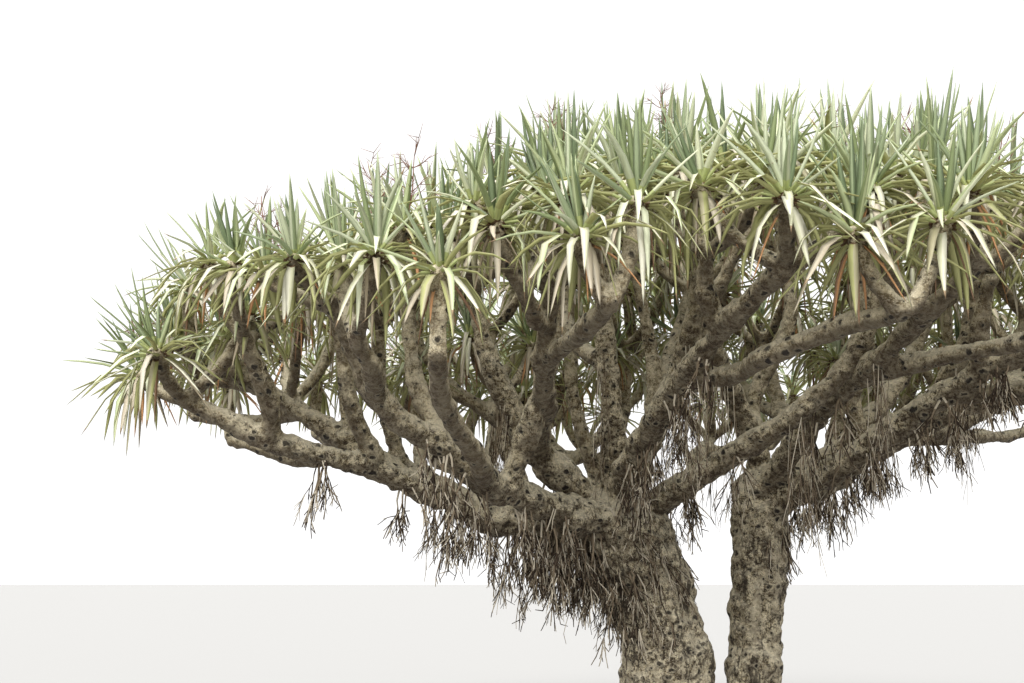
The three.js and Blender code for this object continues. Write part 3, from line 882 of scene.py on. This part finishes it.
# Air roots: the stretch of a bough that they hang from, how many clumps, the stalks of a clump and the
# longest stalk.
ROOT_STRETCHES = [
    ("left_low", 0.0, 0.3, 12, 8, 0.62), ("left_low", 0.33, 0.56, 4, 6, 0.5),
    ("left_low", 0.7, 0.76, 1, 8, 0.52), ("left_front", 0.04, 0.4, 8, 7, 0.52),
    ("left_front", 0.46, 0.76, 4, 7, 0.5), ("left_far", 0.06, 0.5, 6, 6, 0.5),
    ("left_high", 0.08, 0.4, 2, 5, 0.4), ("front", 0.08, 0.45, 5, 7, 0.5), ("front", 0.5, 0.8, 2, 5, 0.4),
    ("left_back", 0.06, 0.5, 4, 6, 0.5), ("back_left", 0.06, 0.5, 4, 6, 0.5),
    ("back", 0.06, 0.55, 4, 6, 0.5), ("right_low", 0.1, 0.4, 3, 6, 0.36),
    ("right_low", 0.45, 0.8, 4, 6, 0.34), ("right", 0.1, 0.4, 3, 5, 0.36),
    ("right", 0.4, 0.8, 3, 5, 0.36), ("front_right", 0.1, 0.6, 3, 5, 0.34),
    ("right_back", 0.1, 0.7, 4, 6, 0.4), ("back_right", 0.1, 0.6, 4, 6, 0.5),
    ("middle_front_right", 0.1, 0.5, 2, 5, 0.4), ("middle_right", 0.1, 0.5, 2, 5, 0.4),
]
# Long thin beards from high in the crown: the bough, the share along it and the longest strand.
ROOT_BEARDS = [
    ("top_left", 0.62, 1.25), ("middle_front", 0.55, 1.1), ("top_right", 0.5, 1.2),
    ("left_high", 0.62, 0.9), ("middle_front_right", 0.6, 1.0), ("front_right", 0.62, 0.8),
    ("middle_right_front", 0.5, 0.8), ("top_back", 0.6, 1.0), ("middle_left_back", 0.6, 0.9),
]
BEARD_STRANDS = 15
# Those on the stems: how many, the side they cling to in radians from the front, its spread, the longest.
STEM_ROOTS = [
    ("trunk_main", 28, -1.15, 0.6, 0.56), ("trunk_main", 16, 0.25, 0.35, 0.42),
    ("trunk_main", 14, 2.6, 0.8, 0.5), ("trunk_second", 9, 1.3, 0.5, 0.4),
    ("trunk_second", 6, 3.3, 0.8, 0.4),
]
# Hanging stalks: their share of the longest, radius, how far they lean apart and how much they waver.
STALKS = {
    "clump": {"share": (0.45, 1.0), "radius": (0.006, 0.012), "lean": 0.22, "waver": 0.07},
    "beard": {"share": (0.4, 1.0), "radius": (0.0025, 0.0055), "lean": 0.06, "waver": 0.04},
}
STALK_ROWS = 6
# the first row of a stalk that it may branch from
BRANCH_ROW = 3
# The two orders of branchlets: how many from each branch, reach, splay, points along, share of the radius
BRANCHLETS = ((6, (0.07, 0.19), 0.34, 3, 0.58), (2, (0.03, 0.09), 0.55, 2, 0.8))
# how near the ground each kind of strand may come
GROUND_GAPS = {"stem": 0.02, "stalk": 0.012, "branchlet": 0.008}
ROOT_COLOURS = {"root_pale": (202, 191, 170), "root_brown": (130, 115, 94), "root_dark": (60, 47, 34)}


def stalk_lines(random, tops, lengths, lean, wobble):
    """Lines that hang from their tops, lean apart and waver more towards their ends."""
    count = len(tops)
    share = np.linspace(0, 1, STALK_ROWS)[None, :, None]
    apart = random.normal(0, lean, (count, 1, 2)) * share ** 0.8
    phase, pace = random.uniform(0, 6.28, (count, 1, 2)), random.uniform(3, 9, (count, 1, 2))
    waver = wobble * share * np.sin(phase + pace * share)
    lines = np.empty((count, STALK_ROWS, 3))
    lines[..., :2] = tops[:, None, :2] + (apart + waver) * lengths[:, None, None]
    heights = tops[:, None, 2] - share[..., 0] * lengths[:, None]
    lines[..., 2] = np.maximum(heights, GROUND_GAPS["stalk"])
    return lines


def add_brooms(shape, random, lines, radii, orders=BRANCHLETS):
    """Stalks that thin out and split twice into branchlets, splayed like a broom's twigs. Finish 0 is
    pale, 1 brown and 2 dark, and each stalk turns brown and then dark at rows of its own."""
    count = len(lines)
    upper = random.choice([0, 0, 1, 2], (count, 1))
    rows = np.arange(STALK_ROWS - 1)
    brown, dark = random.integers(1, 4, (count, 1)), random.integers(3, 6, (count, 1))
    tint = np.where(rows < brown, upper, np.where(rows < dark, 1, 2))
    shape.add_tubes(lines, radii[:, None] * np.linspace(1, 0.42, STALK_ROWS), 4, tint)
    first_row = BRANCH_ROW
    for each, reach, splay, points, share in orders:
        parent = np.repeat(np.arange(len(lines)), each)
        row = random.integers(first_row, lines.shape[1], len(parent))
        starts = lines[parent, row]
        aim = starts - lines[parent, row - 1]
        aim = unit(unit(aim) + random.normal(0, splay, aim.shape) - UP * 0.35)
        steps = np.linspace(0, 1, points)[None, :, None]
        reach = random.uniform(*reach, (len(parent), 1, 1))
        lines = starts[:, None] + (aim[:, None] * steps - UP * 0.15 * steps ** 2) * reach
        lines[..., 2] = np.maximum(lines[..., 2], GROUND_GAPS["branchlet"])
        radii = radii[parent] * share
        tint = random.choice([0, 0, 1, 1, 2, 2, 2], (len(parent), 1))
        shape.add_tubes(lines, radii[:, None] * np.linspace(1, 0.7, points), 3, tint)
        first_row = 1


def under_bough(random, limb, middle, half_width, count):
    """Places on the underside of a bough round one share of its length."""
    apart = random.uniform(-half_width, half_width, count) / limb.curve.length
    shares = np.clip(middle + apart, 0.01, 0.99)
    centres = limb.curve.at(shares)
    along = unit(limb.curve.at(shares + 0.01) - centres)
    down = unit(-UP - along * (along @ -UP)[:, None])
    side = np.cross(along, down)
    angle = random.uniform(-1.3, 1.3, count)[:, None]
    inside = limb.radius_at(shares)[:, None] * 0.82
    return centres + inside * (down * np.cos(angle) + side * np.sin(angle))


def on_stem(random, name, turn, longest):
    """Stalks that cling to a stem under its crotch, and stand away from it lower down."""
    curve, count = stem_curve(name), len(turn)
    top = STEMS[name]["head"][2] + random.uniform(-0.5, 0.08, count)
    lengths = longest * random.uniform(0.25, 1.2, count)
    share = np.linspace(0, 1, STALK_ROWS)
    heights = np.maximum(top[:, None] - lengths[:, None] * share, GROUND_GAPS["stem"])
    along = curve.place(np.linspace(0, 1, DIVISIONS))
    middle = np.stack([np.interp(heights, along[:, 2], along[:, axis]) for axis in (0, 1)], axis=-1)
    drift = random.normal(0, 0.12, (count, 1)) * share
    angle = turn[:, None] + drift + 0.04 * np.sin(share * 9 + turn[:, None] * 5)
    lobed = LOBE_DEPTH * np.exp(-heights / FLARE_HEIGHT) * np.cos(STEMS[name]["lobes"] * angle)
    away = random.uniform(0.0, 0.07, (count, 1)) * share
    wide = stem_radius(name, heights) * (1 + lobed) - 0.02 + away
    places = [middle[..., 0] + wide * np.sin(angle), middle[..., 1] - wide * np.cos(angle), heights]
    return np.stack(places, axis=-1)


def grow_roots(limbs):
    shape = Shape()
    random = np.random.default_rng(SEEDS["roots"])

    def hang(tops, longest, kind, orders):
        facts = STALKS[kind]
        lengths = longest * random.uniform(*facts["share"], len(tops))
        lines = stalk_lines(random, tops, lengths, facts["lean"], facts["waver"])
        add_brooms(shape, random, lines, random.uniform(*facts["radius"], len(tops)), orders)

    for name, first, last, clumps, stalks, longest in ROOT_STRETCHES:
        for k in range(clumps):
            middle = first + (last - first) * (k + random.uniform(0.1, 0.9)) / clumps
            count = max(2, int(random.normal(stalks, 0.3 * stalks)))
            tops = under_bough(random, limbs[name], middle, random.uniform(0.02, 0.09), count)
            hang(tops, longest * random.uniform(0.45, 1.0), "clump", BRANCHLETS)
    for name, share, longest in ROOT_BEARDS:
        tops = under_bough(random, limbs[name], share, 0.1, BEARD_STRANDS)
        hang(tops, longest, "beard", BRANCHLETS[:1])
    for name, count, middle, spread, longest in STEM_ROOTS:
        lines = on_stem(random, name, random.normal(middle, spread, count), longest)
        add_brooms(shape, random, lines, random.uniform(0.005, 0.012, count))
    return shape


# Old flower stalks: the most there are, the chance of one over a rosette left and right of the main stem,
# the branches of one, the branchlets of a branch, and the radii along each.
PANICLES = 40
PANICLE_CHANCES = (0.26, 0.1)
PANICLE_BRANCHES = 11
PANICLE_BRANCHLETS = 6
PANICLE_RADII = (
    np.linspace(0.008, 0.003, 8), np.linspace(0.0045, 0.002, 5), np.array([0.0028, 0.0022, 0.0014]))


def grow_panicles(heads):
    """Old dry flower stalks that stand over some rosettes: a stem, side branches and branchlets."""
    shape = Shape()
    random = np.random.default_rng(SEEDS["stalks"])
    chosen = [head for head in heads if random.random() < PANICLE_CHANCES[int(head.place[0] >= 0)]]
    stem_radii, branch_radii, branchlet_radii = PANICLE_RADII
    share, part, fine_part = (np.linspace(0, 1, len(radii))[:, None] for radii in PANICLE_RADII)
    for head in chosen[:PANICLES]:
        tall = min(random.uniform(0.46, 0.64), cad_box[1][2] - head.place[2])
        lean = np.array([*random.normal(0, 0.16, 2), 1.0])
        stem = head.place + unit(lean) * tall * share + [0.02, 0, 0] * np.sin(share * 5)
        shape.add_tubes(stem[None], stem_radii[None], 4)
        for k in range(PANICLE_BRANCHES):
            start = stem[1 + k * 6 // PANICLE_BRANCHES]
            out = toward(math.radians(GOLDEN_ANGLE * k), random.uniform(0.35, 0.9))
            reach = random.uniform(0.12, 0.24) * (1 - 0.05 * k)
            branch = start + unit(out) * reach * part + UP * 0.04 * part ** 2
            shape.add_tubes(branch[None], branch_radii[None], 3)
            roots = branch[random.integers(1, len(branch), PANICLE_BRANCHLETS)]
            away = unit(out + random.normal(0, 0.75, roots.shape))
            lines = roots[:, None] + away[:, None] * 0.1 * fine_part
            shape.add_tubes(lines, branchlet_radii[None], 3)
    return shape


class Socket:
    """A node's output, so that maths on it reads as a sum."""

    def __init__(self, nodes, socket):
        self.nodes = nodes
        self.socket = socket

    def maths(self, operation, first, second=0.0):
        return self.nodes.node("Math", {"operation": operation}, {0: first, 1: second})

    def __add__(self, other):
        return self.maths("ADD", self, other)

    def __radd__(self, other):
        return self.maths("ADD", other, self)

    def __sub__(self, other):
        return self.maths("SUBTRACT", self, other)

    def __rsub__(self, other):
        return self.maths("SUBTRACT", other, self)

    def __mul__(self, other):
        return self.maths("MULTIPLY", self, other)

    def __rmul__(self, other):
        return self.maths("MULTIPLY", other, self)

    def between(self, low, high):
        """0 below low, 1 above high, and smooth in between. low may be the higher of the two."""
        kept = {"interpolation_type": "SMOOTHSTEP"}
        return self.nodes.node("MapRange", kept, {"Value": self, "From Min": low, "From Max": high})


def daylight(colour):
    """A colour from 0 to 255 as the light values that a shader takes."""
    parts = np.array(colour) / 255.0
    return (*np.where(parts < 0.04045, parts / 12.92, ((parts + 0.055) / 1.055) ** 2.4), 1.0)


class Nodes:
    """The nodes that are added to a material or to the sky."""

    def __init__(self, tree):
        self.tree = tree

    def put(self, socket, value):
        if isinstance(value, Socket):
            self.tree.links.new(value.socket, socket)
        else:
            socket.default_value = value

    def node(self, kind, settings, inputs, output=0):
        made = self.tree.nodes.new("ShaderNode" + kind)
        for name, value in settings.items():
            setattr(made, name, value)
        for name, value in inputs.items():
            self.put(made.inputs[name], value)
        return Socket(self, made.outputs[output])

    def blend(self, share, first, second):
        """first where share is 0, second where it is 1. A colour may be given from 0 to 255."""
        first, second = (daylight(c) if isinstance(c, tuple) else c for c in (first, second))
        kept = {"data_type": "RGBA"}
        return self.node("Mix", kept, {0: share, 6: first, 7: second}, 2)

    def vector(self, operation, first, second, third=(0, 0, 0)):
        return self.node("VectorMath", {"operation": operation}, {0: first, 1: second, 2: third})

    def spots(self, per_metre, detail=2.0, rough=0.5, places=None):
        places = places or self.node("TexCoord", {}, {}, "Object")
        sizes = {"Vector": places, "Scale": per_metre, "Detail": detail, "Roughness": rough}
        return self.node("TexNoise", {}, sizes, "Fac")

    def cells(self, places, per_metre):
        """The distance from each of some scattered points, and a chance from 0 to 1 for each point."""
        sizes = {"Vector": places, "Scale": per_metre, "Randomness": 1.0}
        gap = self.node("TexVoronoi", {"feature": "F1"}, sizes, "Distance")
        chances = self.node("TexVoronoi", {"feature": "F1"}, sizes, "Color")
        return gap, self.node("SeparateXYZ", {}, {"Vector": chances}, "X")


class Paint(Nodes):
    """A material with one shader."""

    def __init__(self, name, colour, roughness):
        self.material = bpy.data.materials.new(name)
        self.material.use_nodes = True
        super().__init__(self.material.node_tree)
        self.shader = self.tree.nodes["Principled BSDF"]
        self.shader.inputs["Base Color"].default_value = daylight(colour)
        self.shader.inputs["Roughness"].default_value = roughness

    def connect(self, name, value):
        self.put(self.shader.inputs[name], value)


def bark_paint():
    """Grey-beige bark, wrinkled across the limb, with lichen, moss and dark scars, paler tops as a painted
    highlight, and dark brown undersides as painted shade.
    """
    paint = Paint("old_bark", (132, 121, 100), 0.9)
    hollow = paint.node("Attribute", {"attribute_name": "hollow"}, {}, "Fac")
    age = paint.node("Attribute", {"attribute_name": "age"}, {}, "Fac") * 0.65 + 0.35
    places = paint.node("TexCoord", {}, {}, "Object")
    waver = paint.node("TexNoise", {}, {"Vector": places, "Scale": 17.0, "Detail": 3.0}, "Color")
    waver = paint.vector("MULTIPLY", waver, (0.065, 0.065, 0.065))
    drawn = paint.vector("MULTIPLY_ADD", places, (1, 1, 1.3), waver)
    broad, patchy = paint.spots(2.3), paint.spots(8, 5, 0.65)
    wrinkle = paint.spots(13, 4, 0.6, drawn)
    rough, fine = paint.spots(28, 5, 0.75), paint.spots(95, 3, 0.7)
    gap, size = paint.cells(drawn, 12.5)
    gap = gap * (0.85 + size * size * 5.0) + (rough - 0.5) * 0.35
    scar = gap.between(0.34, 0.17)
    rim = gap.between(0.58, 0.36) * (1 - scar)
    gap, size = paint.cells(drawn, 25.0)
    dot = (gap + size * 0.35 + (rough - 0.5) * 0.4).between(0.36, 0.16)
    slope = paint.node("SeparateXYZ", {}, {"Vector": paint.node("NewGeometry", {}, {}, "Normal")}, "Z")
    low = paint.node("SeparateXYZ", {}, {"Vector": places}, "Z").between(2.15, 1.75)
    streak = paint.spots(15, 4, 0.65, paint.vector("MULTIPLY_ADD", places, (1, 1, 0.14), waver))
    # each layer's share, where 1 hides all that is under it, and its colour
    layers = {
        "moss": (broad.between(0.56, 0.44) * slope.between(-0.4, 0.4) * 0.6, (122, 108, 64)),
        "pale patches": (patchy.between(0.5, 0.6) * (age * 0.5 + 0.4), (226, 213, 181)),
        "dark patches": (patchy.between(0.48, 0.38) * (age * 0.4 + 0.5), (70, 55, 33)),
        "wrinkle tops": (wrinkle.between(0.51, 0.58) * 0.6, (220, 206, 173)),
        "wrinkle grooves": (wrinkle.between(0.48, 0.41) * age * 0.8, (56, 42, 25)),
        "lichen": (rough.between(0.505, 0.56) * (age * 0.6 + 0.2), (232, 219, 187)),
        "cracks": (rough.between(0.475, 0.42) * age * 0.88, (40, 29, 16)),
        "pale specks": (fine.between(0.53, 0.62) * 0.48, (232, 219, 189)),
        "dark specks": (fine.between(0.46, 0.39) * age * 0.7, (34, 25, 15)),
        # painted highlight: bark that faces upward is made paler, as if lit from above
        "painted highlight on tops": (slope.between(-0.05, 0.65) * 0.7, (230, 219, 192)),
        # painted shade: bark that faces downward is made dark brown, as if in shadow
        "painted shade on undersides": (slope.between(0.1, -0.6) * 0.75, (58, 43, 26)),
        "dark streaks": (streak.between(0.47, 0.38) * low * 0.85, (48, 38, 27)),
        "pale streaks": (streak.between(0.53, 0.62) * low * 0.6, (190, 178, 152)),
        # pale raised rims round the scars: partly their own colour, partly a painted highlight
        "scar rims and painted highlights": (rim * age * 0.4, (206, 194, 166)),
        # darker the deeper a point lies in a relief scar: partly the scar's own dark colour, partly
        # painted shade in the pit
        "painted shade in pits": (hollow.between(0.15, 0.8) * 0.8, (40, 31, 22)),
        "dots": (dot * age * 0.7, (48, 38, 27)),
        # dark scar pits: partly their own dark colour, partly painted shade inside the pit
        "scars": (scar * 0.88, (30, 23, 16)),
    }
    colour = paint.blend(broad.between(0.35, 0.65), (134, 117, 84), (172, 156, 122))
    for share, tint in layers.values():
        colour = paint.blend(share, colour, tint)
    paint.connect("Base Color", colour)
    paint.connect("Roughness", 0.84 + fine * 0.14)
    height = fine * 0.12 + rough * 0.6 + wrinkle * 0.7 + patchy * 0.6 - dot * 0.3 - scar * 0.9 + rim * 0.4
    height = height + streak * low * 1.4
    bump = paint.node("Bump", {}, {"Strength": 1.0, "Distance": 0.055, "Height": height}, "Normal")
    paint.connect("Normal", bump)
    return paint.material


def plain_paints(colours, roughness):
    return [Paint(name, colour, roughness).material for name, colour in colours.items()]


def ride(piece, nodes=()):
    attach(piece, "root")
    if nodes:
        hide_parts(*nodes)


def dress_wood(limbs, side, heads):
    bark = bark_paint()
    groups = {"left": ["trunk_main"], "back": [], "right": ["trunk_second"]}
    for bough in BOUGHS:
        groups[limbs[bough.name].group].append("bough_" + bough.name)
    for group, nodes in groups.items():
        wood = Wood()
        for node in nodes:
            if node in STEMS:
                wood.add_stem(node)
            else:
                limb = limbs[node.removeprefix("bough_")]
                wood.add_limb(*limb_line(limb, past=FORK_LENGTH), LIMB_SIDES)
        for limb in side:
            if limb.group == group:
                wood.add_limb(*limb_line(limb), LIMB_SIDES)
        for head in heads:
            if limbs[BOUGHS[head.mass].name].group == group:
                wood.add_limb(*twig_line(head), TWIG_SIDES)
        piece = skin_wood(f"wood_{group}", wood, SKIN_VOXELS[group], bark)
        ride(piece, nodes)


def dress_foliage(heads):
    paints = plain_paints(COLOURS, 0.6)
    order = sorted(range(len(BOUGHS)), key=lambda i: BOUGHS[i].bearing)
    for part in range(LEAF_PIECES):
        masses = order[part * len(order) // LEAF_PIECES:(part + 1) * len(order) // LEAF_PIECES]
        shape = Shape()
        rosettes = [plan_rosette(head, n) for n, head in enumerate(heads) if head.mass in masses]
        add_leaves(shape, [row for rows in rosettes for row in rows])
        piece = shape.build(f"leaves_{part + 1}", paints)
        ride(piece, [f"foliage_{BOUGHS[i].name}" for i in masses])
    paints = plain_paints({"stalk_brown": (122, 86, 70)}, 0.8)
    ride(grow_panicles(heads).build("flower_stalks", paints))


def dress_roots(limbs):
    piece = grow_roots(limbs).build("air_roots", plain_paints(ROOT_COLOURS, 0.9))
    ride(piece, [name for name in frame["nodes"] if name.startswith("air_roots")])


# The camera: its lens in millimetres, its place and how many degrees it looks up. The soft light: its
# strength, and its width and turn in degrees. The sky: its strength low down, what is added overhead, and
# the heights of the view's direction between which that comes in.
CAMERA = {"lens": 42.4, "place": (-1.27, -10.2, 1.6), "up": 10.96}
SUN = {"strength": 3.2, "width": 30, "turn": (47, -18, 0)}
SKY_GLOW = 1.16
OVERHEAD_GLOW = 2.1
OVERHEAD = (0.35, 1.0)
FLOOR_SIZE = 400
FLOOR_COLOUR = (142, 141, 139)


def set_stage():
    """A plain pale floor, a white sky, brighter overhead as under cloud, a soft light from above and in
    front, and the camera of the photograph's view."""
    scene = bpy.context.scene
    bpy.ops.mesh.primitive_plane_add(size=FLOOR_SIZE)
    floor = bpy.context.object
    floor.name = "floor"
    floor.data.materials.append(Paint("pale_floor", FLOOR_COLOUR, 0.9).material)
    world = bpy.data.worlds.new("sky")
    world.use_nodes = True
    sky = Nodes(world.node_tree)
    direction = sky.node("TexCoord", {}, {}, "Generated")
    height = sky.node("SeparateXYZ", {}, {"Vector": direction}, "Z")
    background = world.node_tree.nodes["Background"]
    background.inputs["Color"].default_value = (1, 1, 1, 1)
    sky.put(background.inputs["Strength"], SKY_GLOW + height.between(*OVERHEAD) * OVERHEAD_GLOW)
    scene.world = world
    sun = add_object("soft_light", bpy.data.lights.new("soft_light", "SUN"))
    sun.data.energy = SUN["strength"]
    sun.data.angle = math.radians(SUN["width"])
    sun.rotation_euler = [math.radians(turn) for turn in SUN["turn"]]
    camera = add_object("camera", bpy.data.cameras.new("camera"))
    camera.data.lens = CAMERA["lens"]
    camera.data.clip_end = 500
    camera.location = CAMERA["place"]
    camera.rotation_euler = (math.radians(90 + CAMERA["up"]), 0, 0)
    scene.camera = camera
    scene.view_settings.view_transform = "Standard"


limbs = grow_limbs()
heads = []
for i, bough in enumerate(BOUGHS):
    heads += mass_heads(i, bough, limbs[bough.name])
mass_tips = np.array([limbs[bough.name].curve.at(1) for bough in BOUGHS])
side = []
for find_places, seed in ((fill_places, SEEDS["side"]), (shaded_places, SEEDS["shaded"])):
    more_limbs, more_heads = side_limbs(limbs, find_places(heads), mass_tips, seed)
    side += more_limbs
    heads += more_heads
dress_wood(limbs, side, heads)
dress_foliage(heads)
dress_roots(limbs)
set_stage()
